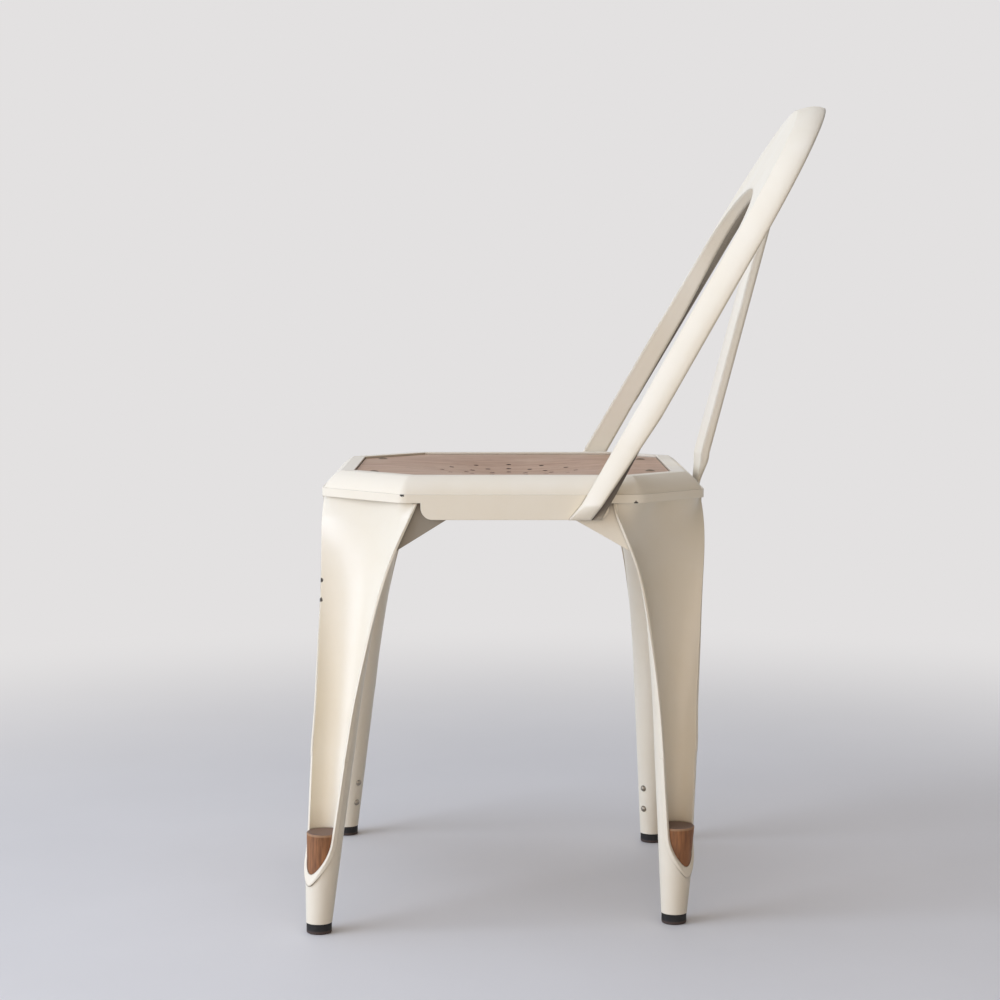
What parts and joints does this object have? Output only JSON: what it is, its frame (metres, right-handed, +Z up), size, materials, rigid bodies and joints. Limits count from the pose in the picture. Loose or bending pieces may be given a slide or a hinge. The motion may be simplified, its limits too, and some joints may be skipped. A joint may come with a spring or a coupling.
{
  "type": "stacking dining chair",
  "caption": "Stacking dining chair with flared pressed-steel legs, an octagonal seat pan with a wooden panel, and a hoop back with a centre bar.",
  "frame": {"origin": "middle of the chair's footprint box, on the floor", "axes": "+Z up, the sitter faces -Y, the sitter's left is +X"},
  "size_m": [0.4396, 0.5317, 0.8239],
  "materials": {
    "cream_enamel": "satin cream enamel on sheet steel",
    "seat_wood": "worn clear varnish on plywood",
    "peg_wood": "stained hardwood",
    "black_rubber": "matte black",
    "bright_steel": "zinc-plated",
    "dark_steel": "darkened with age"
  },
  "bodies": {
    "root": {"seat_pan": "cream_enamel", "back_hoop": "cream_enamel", "back_bar": "cream_enamel", "seat_panel": "seat_wood", "panel_bolts": "dark_steel", "panel_nuts": "dark_steel", "foot_nails": "bright_steel", "leg_front_left": "cream_enamel", "leg_gussets_front_left": "cream_enamel", "leg_peg_front_left": "peg_wood", "peg_screws_front_left": "bright_steel", "rubber_foot_front_left": "black_rubber", "leg_front_right": "cream_enamel", "leg_gussets_front_right": "cream_enamel", "leg_peg_front_right": "peg_wood", "peg_screws_front_right": "bright_steel", "rubber_foot_front_right": "black_rubber", "leg_rear_left": "cream_enamel", "leg_gussets_rear_left": "cream_enamel", "leg_peg_rear_left": "peg_wood", "peg_screws_rear_left": "bright_steel", "rubber_foot_rear_left": "black_rubber", "leg_rear_right": "cream_enamel", "leg_gussets_rear_right": "cream_enamel", "leg_peg_rear_right": "peg_wood", "peg_screws_rear_right": "bright_steel", "rubber_foot_rear_right": "black_rubber"}
  },
  "joints": []
}
